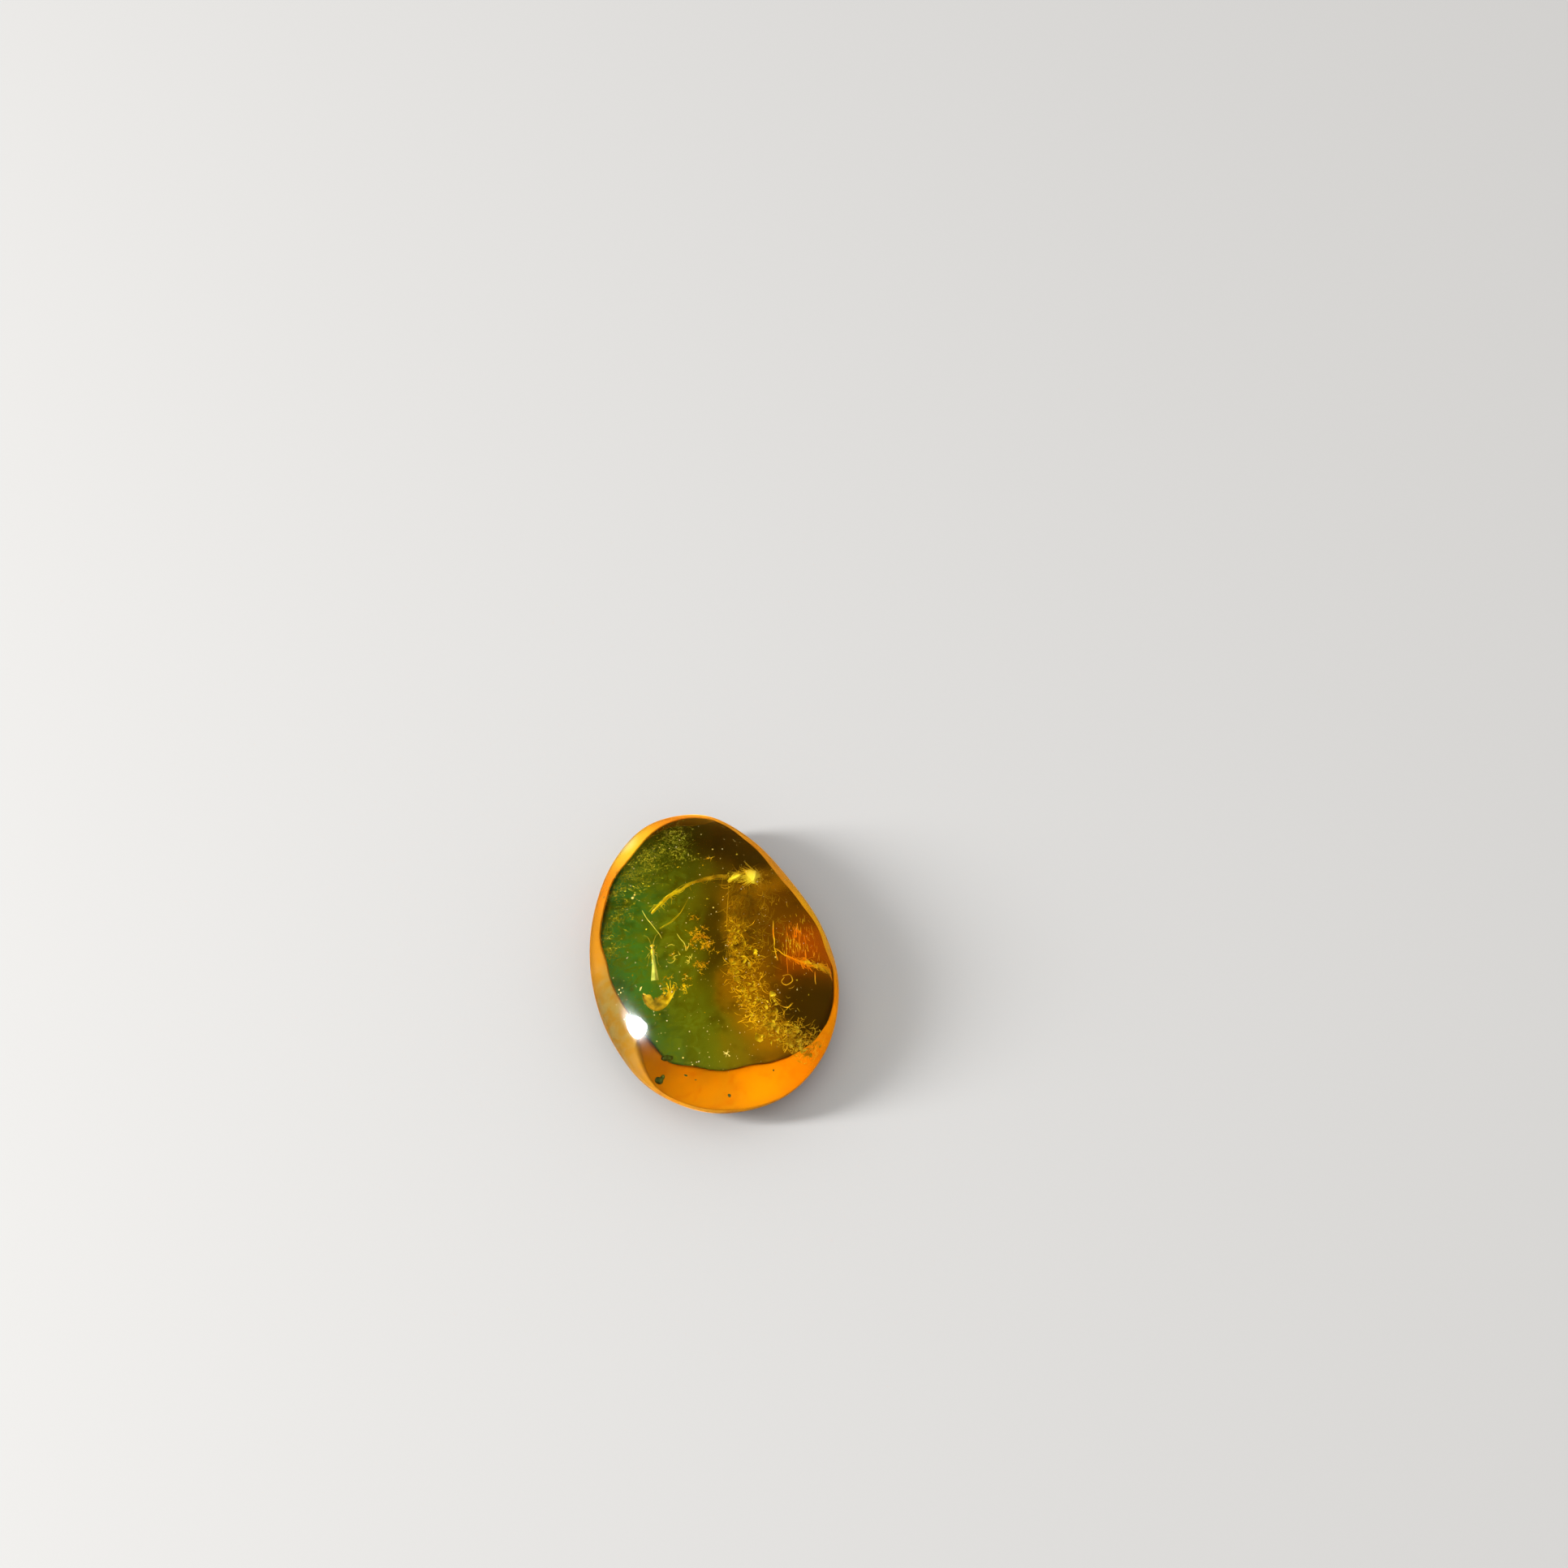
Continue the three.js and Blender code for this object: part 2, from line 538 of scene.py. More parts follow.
# Round the stone from its right: direction in degrees, top of the wall, width of the lip.
RIM_PLAN = (
    (0, 2.9, 0.4), (25, 3.5, 0.5), (50, 3.6, 0.6), (75, 3.2, 0.8), (100, 2.5, 0.9),
    (128, 2.3, 1.5), (150, 2.1, 1.15), (175, 2.0, 1.1), (200, 1.8, 1.45), (232, 1.6, 1.9),
    (256, 1.6, 0.3), (310, 1.7, 0.0), (335, 1.9, 0.1), (360, 2.9, 0.4),
)
RIM_INSET = 0.1
RIM_THICKNESS = 0.12
RIM_SOLE_REACH = 0.8  # where the band starts under the cloudy layer, as a share of its foot
RIM_SOLE_HEIGHT = 0.12
RIM_AROUND = 144

RIM_ORANGE = (1.0, 0.46, 0.02)
RIM_MILKY = (0.29, 0.235, 0.145)
RIM_RED = (0.78, 0.23, 0.02)
RIM_AMBER = (0.6, 0.27, 0.02)
RIM_PAINTED_HOT_SPOT = (1.0, 0.78, 0.14)
RIM_PAINTED_HOT_SPOT_CORE = (1.0, 1.0, 0.8)
RIM_DEEP = (0.9, 0.28, 0.01)
RIM_SHADE = (0.16, 0.13, 0.03)
RIM_PAINTED_GLOW = (1.0, 0.62, 0.02)
RIM_DUSK = (0.31, 0.17, 0.036)
# Patches over the band. The deeper orange and amber are its own colour; the yellow-white hot spot
# at the upper left and the bright glow on the right are painted light.
RIM_BLOTS = (
    (RIM_DEEP, (6.2, -7.4), (2.2, 2.2), 1.0),
    (RIM_AMBER, (-7.2, 1.8), (1.6, 2.6), 1.0),
    (RIM_DEEP, (-7.0, 5.0), (1.4, 1.6), 1.0),
    (RIM_DEEP, (-2.4, 10.0), (1.7, 1.2), 1.0),
    (RIM_PAINTED_HOT_SPOT, (-5.1, 7.9), (1.1, 1.4), 1.0),
    (RIM_PAINTED_HOT_SPOT_CORE, (-5.1, 7.9), (0.5, 0.6), 1.0),
    (RIM_PAINTED_GLOW, (5.8, 2.6), (1.4, 2.6), 1.0),
)


def rim_material(name, shaded):
    """Orange, milky at the left, with a painted hot spot and painted glow. Shaded, it has painted
    shade low down at the back.
    """
    material, shader = new_material(name, 0.6)
    place = millimetres(material)
    cloud = noise_at(place, 0.5)
    colour = mix(ramp(cloud, 0.3, 0.7, 0, 0.25), RIM_ORANGE, RIM_MILKY)
    curds = noise_at(place, 1.3, detail=6.0, distortion=0.5)
    colour = mix(ramp(curds, 0.45, 0.7, 0, 0.4), colour, RIM_RED)
    milk = mix(ramp(curds, 0.35, 0.65), RIM_DUSK, RIM_MILKY)
    milky = ((milk, (-5.8, -4.0), (2.8, 4.6), 1.0),)
    colour = blotted(place, colour, milky + RIM_BLOTS)
    if shaded:
        x, y, z = axes_of(place)
        back = maths("ADD", y, maths("MULTIPLY", x, 0.25))
        behind = ramp(back, 2.5, 4.5)
        low = ramp(z, 1.7, 1.3)
        # Painted shade: low down at the back the inside faces darken.
        colour = mix(maths("MULTIPLY", low, behind), colour, RIM_SHADE)
    link(colour, shader.inputs["Base Color"])
    return material


def rim_plan(angle):
    """The height of the cloudy wall and the width of its lip in one direction."""
    degrees = math.degrees(angle)
    for (start, top, lip), (end, next_top, next_lip) in zip(RIM_PLAN, RIM_PLAN[1:]):
        if degrees <= end:
            ease = (1 - math.cos(math.pi * (degrees - start) / (end - start))) / 2
            return top + (next_top - top) * ease, lip + (next_lip - lip) * ease


def rim_cloud(surface):
    """A thin cloudy band just inside the stone's wall, with a lip that leans in at its top."""

    def inside(angle, height, inset):
        start = RIM_MIDDLE + UP * height
        outward = Vector((math.cos(angle), math.sin(angle), 0))
        point, normal, _, _ = surface.ray_cast(start, outward)
        return point - normal * inset

    sections = []
    for k in range(RIM_AROUND):
        angle = 2 * math.pi * k / RIM_AROUND
        top, lip = rim_plan(angle)
        climb = (top - RIM_FOOT) / RIM_STEPS
        heights = [RIM_FOOT + climb * i for i in range(RIM_STEPS + 1)]
        outer = [inside(angle, z, RIM_INSET) for z in heights]
        inner = [inside(angle, z, RIM_INSET + RIM_THICKNESS) for z in heights]
        slope = RIM_LIP_SLOPE + RIM_LIP_TURN * math.cos(angle - RIM_LIP_RISES)
        inward = Vector((-math.cos(angle), -math.sin(angle), slope)) * lip
        for side in (outer, inner):
            edge = side[-1]
            side += [edge + inward * i / RIM_LIP_STEPS for i in range(1, RIM_LIP_STEPS + 1)]
        foot = (outer[0] - RIM_MIDDLE) * RIM_SOLE_REACH
        start = RIM_MIDDLE + Vector((foot.x, foot.y, RIM_SOLE_HEIGHT))
        sections.append([start] + outer + inner[::-1] + [start + UP * RIM_THICKNESS])
    bm = bmesh.new()
    loops = [[bm.verts.new(p) for p in section] for section in sections]
    n = len(loops[0])
    for first, second in zip(loops, loops[1:] + loops[:1]):
        for i in range(n):
            j = (i + 1) % n
            face = bm.faces.new((first[i], second[i], second[j], first[j]))
            face.material_index = int(i >= n // 2)
    outside = rim_material("rim_cloud", shaded=False)
    # The inside faces get the copy with painted shade.
    inside_painted_shade = rim_material("rim_cloud_inside_painted_shade", shaded=True)
    return add_mesh("rim_cloud", bm, outside, inside_painted_shade)


# ---- The insect ----

INSECT_TAIL = Vector((-3.3, -2.3, 2.9))  # where its folded wings end, behind the body
INSECT_HEAD = Vector((-3.52, 0.12, 2.9))
# The body's outline: distance from the wings' end, and half width before it is slimmed.
BODY_OUTLINE = (
    (0.7, 0.03), (0.8, 0.08), (0.95, 0.11), (1.02, 0.1), (1.1, 0.13), (1.2, 0.145),
    (1.28, 0.13), (1.37, 0.16), (1.47, 0.165), (1.56, 0.14), (1.66, 0.15), (1.78, 0.1),
    (1.86, 0.17), (1.98, 0.21), (2.1, 0.19), (2.2, 0.1), (2.24, 0.08), (2.3, 0.13),
    (2.38, 0.15), (2.46, 0.1), (2.5, 0.04),
)
BODY_SLIMNESS = 0.62


def insect_place(along, side, rise):
    """A point on the insect: along its axis from the wings' end, to its right, and up, in mm."""
    axis = (INSECT_HEAD - INSECT_TAIL).normalized()
    right = axis.cross(UP).normalized()
    return INSECT_TAIL + axis * along + right * side + UP * rise


def insect_body():
    """Head with eyes and antennae, thorax with six legs, and a tapered, banded abdomen."""
    bm = bmesh.new()
    path = [insect_place(along, 0, 0) for along, _ in BODY_OUTLINE]
    radii = [BODY_SLIMNESS * radius for _, radius in BODY_OUTLINE]
    thread(bm, path, lambda t: radii[round(t * (len(radii) - 1))], sides=12)
    for side in (-1, 1):
        ball(bm, insect_place(2.38, 0.09 * side, 0.03), 0.05, (1, 1.2, 1))
        antenna = curve_through(
            [insect_place(2.45, 0.05 * side, 0.03), insect_place(2.75, 0.14 * side, 0.12),
             insect_place(3.0, 0.24 * side, 0.1), insect_place(3.2, 0.42 * side, 0.0)]
        )
        thread(bm, antenna, lambda t: 0.012 - 0.007 * t)
    for hip, reach, sweep in ((1.86, 0.34, 0.45), (1.98, 0.4, 0.15), (2.1, 0.32, -0.3)):
        for side in (-1, 1):
            leg = curve_through(
                [insect_place(hip, 0.1 * side, -0.12),
                 insect_place(hip - sweep * 0.4, 0.22 * side, -0.05),
                 insect_place(hip - sweep, reach * 0.75 * side, -0.3),
                 insect_place(hip - sweep * 1.5, reach * side, -0.42)]
            )
            thread(bm, leg, lambda t: 0.014 - 0.008 * t)
    cuticle = mottled("insect_cuticle", (0.45, 0.42, 0.12), (0.85, 0.9, 0.42), 3.0, 0.35)
    return add_mesh("insect_body", bm, cuticle)


def wing_width(t):
    """How wide a wing is at the share t of its length."""
    return 0.03 + 0.19 * t**1.3


def wing_place(along, width, u, t, rise):
    """A point u across a wing and t along it, as shares. It droops outwards and to the tip."""
    return insect_place(along, width * u, rise - 0.16 * u * t - 0.1 * t)


def insect_wings():
    """Two pairs of narrow wings, folded roof-like over the abdomen into one long fan."""
    bm = bmesh.new()
    for side in (-1, 1):
        for length, spread, lift in ((1.0, 1.0, 0.0), (0.86, 0.72, -0.05)):
            rows = []
            for i in range(13):
                t = i / 12
                along = 1.95 - 1.95 * length * t
                width = spread * wing_width(t)
                row = []
                for j in range(7):
                    u = j / 6
                    rise = 0.24 + lift + 0.01 * math.sin(u * 5 * math.pi) * t
                    row.append(wing_place(along + 0.06 * u * t, side * width, u, t, rise))
                rows.append(row if side > 0 else row[::-1])
            sheet(bm, rows, 0.016)
        for u in (0.12, 0.45, 0.75, 1.0):
            vein = [
                wing_place(1.9 - 1.85 * t, side * wing_width(t), u, t, 0.25)
                for t in (0.05, 0.25, 0.5, 0.75, 0.97)
            ]
            thread(bm, curve_through(vein), lambda t: 0.009 - 0.003 * t)
    membrane = mottled("wing_membrane", (0.28, 0.44, 0.4), (0.55, 0.74, 0.72), 1.6, 0.3)
    return add_mesh("insect_wings", bm, membrane)


# ---- Threads and fibres ----

LONG_FILAMENT = [
    (-3.6, 2.4, 2.7), (-3.2, 2.9, 2.8), (-2.6, 3.5, 2.9), (-2.0, 3.9, 2.9), (-1.4, 4.4, 2.8),
    (-0.7, 4.6, 2.9), (0.0, 4.85, 2.8), (0.9, 4.8, 2.9), (1.9, 5.1, 2.8),
]
FINE_FILAMENT = [(-3.1, 1.4, 2.5), (-2.5, 1.75, 2.6), (-2.0, 2.4, 2.6), (-1.5, 3.5, 2.6)]


def strands(bm, rng, guide, count, spread, thick):
    """Several fine strands that follow one path loosely and part from it at their ends."""
    guide = [Vector(p) for p in guide]
    for _ in range(count):
        first = rng.randrange(0, len(guide) - 2)
        last = rng.randrange(first + 2, len(guide) + 1)
        drift = scatter(rng, 1, 1, 1) * spread
        points = []
        for i, point in enumerate(guide[first:last]):
            jitter = scatter(rng, 1, 1, 1) * spread * 0.5
            points.append(point + drift * (0.3 + 0.5 * i / (last - first)) + jitter)
        thread(bm, curve_through(points), tapered(thick * rng.uniform(0.6, 1.2), 0.2))


def golden_filament():
    """The long frayed filament that runs to the bright fracture, and the fine one beside it."""
    rng = random.Random(3)
    bm = bmesh.new()
    main = curve_through(LONG_FILAMENT)
    thread(bm, main, lambda t: 0.045 * (1 - t) ** 1.5 + 0.016, sides=6, flatness=0.6)
    strands(bm, rng, LONG_FILAMENT, 44, 0.1, 0.015)
    strands(bm, rng, LONG_FILAMENT[:4], 10, 0.1, 0.024)
    strands(bm, rng, FINE_FILAMENT, 4, 0.04, 0.01)
    for _ in range(40):
        root = main[rng.randrange(len(main))]
        heading = between(rng, (-1, 1), (-1, 0.3), (-0.4, 0.4))
        hair(bm, rng, root, heading, (0.2, 0.7), 0.12, 0.011)
    bright = ((0.62, 0.55, 0.06), (0.9, 0.95, 0.14))
    brown = ((0.22, 0.15, 0.02), (0.6, 0.46, 0.05))
    return add_mesh("golden_filament", bm, graded("golden_fibre", bright, brown, -2.6, -1.0))


def pale_fibres():
    """The pale hairs near the insect."""
    rng = random.Random(5)
    bm = bmesh.new()
    for points, thick in (
        ([(-4.15, 2.45, 3.2), (-3.9, 1.9, 3.2), (-3.65, 1.5, 3.25), (-3.35, 1.05, 3.2)], 0.026),
        ([(-3.35, 1.05, 3.2), (-3.15, 0.75, 3.2), (-3.0, 0.45, 3.1)], 0.018),
        ([(-2.15, 0.8, 3.0), (-1.95, 0.45, 3.0), (-1.7, 0.1, 3.0), (-1.62, -0.4, 3.0)], 0.024),
        ([(-1.62, -0.4, 3.0), (-1.45, -0.05, 3.0), (-1.5, 0.15, 3.05)], 0.018),
        ([(-2.65, 0.05, 2.8), (-2.45, 0.15, 2.8), (-2.25, 0.05, 2.8)], 0.022),
    ):
        thread(bm, curve_through(points), tapered(thick, 0.3))
    for _ in range(10):
        start = between(rng, (-2.4, -1.2), (-2.2, -0.2), (2.4, 3.0))
        heading = (*between(rng, (-1, 1), (-1, 1)), 0.1)
        thread(bm, curl(rng, start, heading, rng.uniform(0.3, 0.8), 0.25), tapered(0.022))
    pale = mottled("pale_fibre", (0.55, 0.66, 0.4), (0.8, 0.92, 0.7), 2.0, 0.3)
    return add_mesh("pale_fibres", bm, pale)


# Each tuft's middle, its spread in mm, and the number of its fibres.
WISP_TUFTS = [
    ((-5.6, 4.2, 2.4), 0.8, 102), ((-4.6, 5.6, 2.3), 0.9, 138), ((-4.0, 6.6, 2.2), 0.8, 108),
    ((-2.6, 8.2, 1.8), 0.7, 108), ((-1.9, 6.6, 2.2), 0.6, 78), ((-5.2, 2.6, 2.2), 0.8, 102),
    ((-5.6, 0.2, 2.0), 0.6, 78), ((-4.3, 4.6, 2.6), 0.7, 78), ((-3.2, 6.9, 2.0), 0.9, 102),
    ((-2.2, 7.6, 2.2), 0.7, 78), ((-5.9, 1.4, 2.2), 0.5, 48), ((-3.4, 5.2, 2.4), 0.8, 66),
]


def wisps():
    """Tufts of fine fibres along the upper left of the stone, and one curled into a ring."""
    rng = random.Random(8)
    bm = bmesh.new()
    for centre, spread, count in WISP_TUFTS:
        for _ in range(count):
            start = Vector(centre) + scatter(rng, 0.5, 0.5, 0.25) * spread
            heading = between(rng, (-1, 1), (-0.4, 1), (-0.2, 0.2))
            path = curl(rng, start, heading, rng.uniform(0.1, 0.6), 0.25, steps=7)
            thread(bm, path, tapered(0.003 + 0.008 * rng.random() ** 2), sides=4)
            normal = UP + scatter(rng, 1, 1, 0)
            flake(bm, rng, path[rng.randrange(8)], rng.uniform(0.02, 0.08), normal, 0.006, 6)
    ring = [
        Vector((-5.75 + 0.13 * math.cos(a), 1.05 + 0.13 * math.sin(a), 2.6))
        for a in (math.radians(20 * k) for k in range(17))
    ]
    thread(bm, ring, tapered(0.022, 0.6))
    green = mottled("wisp_fibre", (0.16, 0.28, 0.09), (0.58, 0.72, 0.24), 0.9, 0.5)
    return add_mesh("wisps", bm, green)


# Each cluster's middle, its spread in mm, and the number of its rays.
STAR_HAIRS = [
    ((-0.95, 0.75, 2.6), 0.7, 260), ((-0.45, 0.25, 2.5), 0.55, 170),
    ((-0.7, -1.2, 2.4), 0.38, 90), ((-1.3, 0.2, 2.5), 0.36, 30), ((-1.2, 2.0, 2.3), 0.24, 16),
    ((0.95, 0.5, 2.8), 0.4, 26), ((0.6, -2.1, 2.7), 0.28, 20), ((-0.5, 6.4, 2.2), 0.22, 16),
    ((-1.6, -2.0, 2.5), 0.3, 18), ((-2.3, -0.6, 2.5), 0.34, 16), ((-2.5, -1.9, 2.5), 0.4, 18),
]
RAYS_PER_KNOT = 6


def star_hairs():
    """Stellate plant hairs: clusters of small knots with short rays."""
    rng = random.Random(11)
    bm = bmesh.new()
    for centre, spread, count in STAR_HAIRS:
        for i in range(count):
            if i % RAYS_PER_KNOT == 0:
                knot = Vector(centre) + scatter(rng, 0.45, 0.45, 0.45) * spread
            heading = scatter(rng, 1, 1, 0.6)
            path = curl(rng, knot, heading, rng.uniform(0.06, 0.26), 0.15, steps=4, flat=1)
            thread(bm, path, lambda t: 0.012 - 0.008 * t, sides=4)
    orange = mottled("hair_orange", (0.62, 0.3, 0.02), (1.0, 0.82, 0.08), 2.5, 0.35)
    return add_mesh("star_hairs", bm, orange)


# ---- Loose debris ----

# The way a flat scrap faces when it mirrors a light from the left up to the eye.
MIRROR_NORMAL = Vector((-0.31, -0.03, 0.95))

DEBRIS_TRAIL = [
    (1.1, 1.2, 2.3), (1.3, 0.0, 2.4), (1.2, -1.2, 2.4), (1.4, -2.4, 2.4), (1.8, -3.4, 2.5),
    (2.2, -4.5, 2.5), (3.0, -5.0, 2.5), (3.9, -5.5, 2.4), (4.8, -5.9, 2.3), (5.5, -6.1, 2.2),
]


def debris_spot(rng, spread):
    """A place in the drift of debris, thickest along its trail."""
    share = rng.uniform(0, len(DEBRIS_TRAIL) - 1.001)
    i = int(share)
    spot = Vector(DEBRIS_TRAIL[i]).lerp(Vector(DEBRIS_TRAIL[i + 1]), share - i)
    wide = spread * (0.6 + 0.5 * math.sin(math.pi * share / (len(DEBRIS_TRAIL) - 1)))
    aside = abs(rng.gauss(0, 1)) * wide - 0.35
    return spot + Vector((aside, rng.gauss(0, 0.5), rng.gauss(0, 0.28)))


def debris_threads():
    """The tangle of curled golden threads on the right."""
    rng = random.Random(21)
    bm = bmesh.new()
    for _ in range(900):
        start = debris_spot(rng, 1.05)
        heading = between(rng, (-1, 1), (-1, 1), (-0.3, 0.3))
        path = curl(rng, start, heading, rng.uniform(0.15, 0.85), rng.uniform(0.05, 0.3), steps=8)
        thread(bm, path, tapered(0.007 + 0.022 * rng.random() ** 3), sides=4)
    for points in (
        [(3.9, -1.9, 2.8), (4.3, -1.8, 2.8), (4.45, -2.2, 2.8), (4.1, -2.5, 2.8),
         (3.85, -2.3, 2.8), (4.0, -2.0, 2.85)],
        [(3.4, -3.3, 2.7), (3.8, -3.8, 2.7), (4.2, -3.9, 2.7), (4.5, -3.6, 2.7)],
        [(2.4, -3.9, 2.7), (2.9, -3.7, 2.8), (3.2, -4.1, 2.7)],
    ):
        thread(bm, curve_through(points), tapered(0.03, 0.5))
    gold = mottled("debris_gold", (0.42, 0.25, 0.012), (1.0, 0.84, 0.1), 1.4, 0.4, metallic=0.3)
    return add_mesh("debris_threads", bm, gold)


def debris_flakes():
    """Scraps of leaf scale among the threads, and a few flecks all through the stone."""
    rng = random.Random(34)
    bm = bmesh.new()
    for _ in range(380):
        normal = MIRROR_NORMAL + scatter(rng, 0.35, 0.35, 0)
        size = 0.05 + 0.3 * rng.random() ** 4
        flake(bm, rng, debris_spot(rng, 0.85), size, normal, 0.012, 9)
    for _ in range(90):
        spot = between(rng, (-4.5, 5.2), (-5.0, 7.0), (1.2, 2.6))
        normal = MIRROR_NORMAL + scatter(rng, 0.2, 0.2, 0)
        flake(bm, rng, spot, rng.uniform(0.02, 0.07), normal, 0.01, 6)
    for centre, size in (
        ((3.35, -3.3, 3.0), 0.26), ((3.45, -3.6, 3.0), 0.24), ((3.6, -3.9, 3.0), 0.2),
        ((0.95, 0.3, 2.85), 0.26), ((1.15, -1.2, 2.8), 0.26), ((1.4, 1.0, 2.7), 0.22),
        ((2.1, -2.9, 2.8), 0.22),
    ):
        flake(bm, rng, centre, size, MIRROR_NORMAL, 0.02)
    gold = mottled("flake_gold", (0.45, 0.3, 0.02), (1.0, 1.0, 0.2), 2.2, 0.3, metallic=0.7)
    return add_mesh("debris_flakes", bm, gold)


SCALE_BELLY = 0.12  # how deep the scale is cupped


def bud_scale():
    """The cupped, torn scale below the insect, brown at its left and golden at its right."""
    rng = random.Random(38)
    bm = bmesh.new()
    rim = curve_through(
        [(-3.98, -3.02, 2.7), (-3.84, -3.45, 2.6), (-3.5, -3.86, 2.5), (-3.08, -4.02, 2.45),
         (-2.66, -3.8, 2.5), (-2.34, -3.3, 2.6), (-2.15, -2.85, 2.7)]
    )
    lip = curve_through(
        [(-3.92, -2.95, 2.8), (-3.72, -3.06, 2.85), (-3.4, -3.18, 2.9), (-3.05, -3.22, 2.9),
         (-2.72, -3.14, 2.9), (-2.42, -2.94, 2.8), (-2.12, -2.74, 2.75)]
    )
    rows = []
    tear = 0.0
    for low, high in zip(rim, lip):
        tear = 0.6 * tear + rng.uniform(-0.1, 0.24)
        ragged = high.lerp(low, tear)
        shares = (0, 0.33, 0.66, 1)
        sag = [UP * SCALE_BELLY * math.sin(math.pi * u) for u in shares]
        rows.append([low.lerp(ragged, u) - drop for u, drop in zip(shares, sag)])
    sheet(bm, rows, 0.02)
    thread(bm, rim, tapered(0.028, 0.4))
    for centre, size, normal in (
        ((-2.45, -2.95, 2.75), 0.34, (-0.5, 0.2, 1)), ((-2.25, -2.65, 2.75), 0.26, (0.1, -0.5, 1)),
        ((-2.75, -3.05, 2.7), 0.2, (-0.2, -0.6, 1)), ((-1.7, -2.55, 2.6), 0.2, (0.3, -0.4, 1)),
    ):
        flake(bm, rng, centre, size, normal, 0.02, 11)
    for _ in range(34):
        root = between(rng, (-3.0, -1.5), (-3.4, -2.3), (2.5, 2.9))
        heading = (*between(rng, (-1, 1), (-1, 1)), 0.1)
        hair(bm, rng, root, heading, (0.2, 0.6), 0.2, 0.014)
    for start, end in (
        ((-2.5, -3.0, 2.8), (-2.66, -2.4, 2.8)), ((-2.4, -2.95, 2.8), (-2.45, -2.25, 2.8)),
        ((-2.6, -3.1, 2.8), (-2.2, -2.6, 2.8)), ((-2.95, -3.5, 2.75), (-2.35, -2.95, 2.8)),
    ):
        streak(bm, rng, start, end, 0.04)
    brown = ((0.1, 0.09, 0.012), (0.42, 0.32, 0.04))
    bright = ((0.42, 0.34, 0.03), (1.0, 0.92, 0.12))
    return add_mesh("bud_scale", bm, graded("scale_yellow", brown, bright, -3.1, -2.4))


# ---- Fractures ----

FLASH_BROWN = (0.16, 0.1, 0.01)
FLASH_GOLD = (0.62, 0.44, 0.03)
FLASH_PAINTED_HIGHLIGHT = (1.0, 1.0, 0.16)
# The two bright yellow hearts are a painted highlight, where the fracture mirrors the light.
FLASH_BLOTS = (
    (FLASH_GOLD, (1.95, 4.75), (1.0, 0.7), 1.0),
    (FLASH_PAINTED_HIGHLIGHT, (2.15, 4.45), (0.4, 0.5), 1.0),
    (FLASH_PAINTED_HIGHLIGHT, (1.05, 4.55), (0.5, 0.3), 1.0),
)
FLASH_SLOPE = 0.33
FLASH_MIDDLE = 2.0
# Fans of ribs: tip, heading and its spread in degrees, reach in mm, number of ribs.
FLASH_FANS = (
    ((2.26, 4.15), 112, 11, 0.85, 80), ((0.75, 4.35), 36, 14, 1.1, 50),
    ((2.6, 4.75), 180, 22, 1.5, 70),
)
# The left and right edges of the two bright wedges.
FLASH_WEDGES = (
    ([(1.6, 5.05), (1.76, 4.78), (1.96, 4.5), (2.17, 4.22)],
     [(2.4, 5.05), (2.41, 4.8), (2.36, 4.5), (2.27, 4.22)]),
    ([(0.8, 4.36), (1.0, 4.42), (1.22, 4.52), (1.42, 4.64)],
     [(0.8, 4.44), (1.0, 4.56), (1.2, 4.7), (1.4, 4.82)]),
)


def flash_material():
    """Brown and golden at its ends, with a bright yellow painted highlight in its two hearts."""
    material, shader = new_material("fracture_painted_highlight", 0.3)
    place = millimetres(material)
    crumple = noise_at(place, 2.0)
    colour = mix(ramp(crumple, 0.3, 0.7), FLASH_BROWN, FLASH_GOLD)
    colour = blotted(place, colour, FLASH_BLOTS)
    link(colour, shader.inputs["Base Color"])
    return material


def flash_height(x, level):
    """The fracture's height at x, which is this level at its middle and climbs to the right."""
    return level + FLASH_SLOPE * (x - FLASH_MIDDLE)


def flash_fans(bm, rng):
    """Straight ribs that spread from three tips."""
    for tip, middle, spread, reach, count in FLASH_FANS:
        for _ in range(count):
            angle = math.radians(rng.gauss(middle, spread))
            length = reach * rng.uniform(0.2, 1.0)
            x, y = tip[0] + rng.gauss(0, 0.04), tip[1] + rng.gauss(0, 0.04)
            end_x, end_y = x + length * math.cos(angle), y + length * math.sin(angle)
            start = (x, y, flash_height(x, 3.8))
            end = (end_x, end_y, flash_height(end_x, 3.8))
            streak(bm, rng, start, end, rng.uniform(0.01, 0.05))


def flash_wedges(bm, rng):
    """Two crumpled sheets, each with one ragged end."""
    for near, far in FLASH_WEDGES:
        edges = [
            curve_through([(x, y, flash_height(x, 4.0)) for x, y in edge], 4)
            for edge in (near, far)
        ]
        rows = [
            [a.lerp(b, u) + UP * rng.gauss(0, 0.012) for u in (0, 0.2, 0.4, 0.6, 0.8, 1)]
            for a, b in zip(*edges)
        ]
        rows[0] = [point.lerp(below, rng.uniform(-1.5, 1)) for point, below in zip(*rows[:2])]
        sheet(bm, rows, 0.02)


def fracture_flash():
    """The bright crumpled fracture at the filament's end."""
    rng = random.Random(41)
    bm = bmesh.new()
    flash_fans(bm, rng)
    flash_wedges(bm, rng)
    for _ in range(40):
        spot = (1.9 + rng.gauss(0, 0.6), 4.8 + rng.gauss(0, 0.25), rng.uniform(3.2, 3.7))
        normal = MIRROR_NORMAL + scatter(rng, 0.15, 0.15, 0)
        flake(bm, rng, spot, rng.uniform(0.03, 0.1), normal, 0.01, 7)
    for _ in range(150):
        heading = between(rng, (-1.4, 1.0), (-0.9, 0.9), (-0.1, 0.1))
        start = (1.9 + rng.gauss(0, 0.5), 4.75 + rng.gauss(0, 0.25), rng.uniform(3.3, 3.7))
        path = curl(rng, start, heading, rng.uniform(0.2, 0.8), 0.06)
        thread(bm, path, lambda t: 0.01 - 0.007 * t, sides=4)
    return add_mesh("fracture_flash", bm, flash_material())


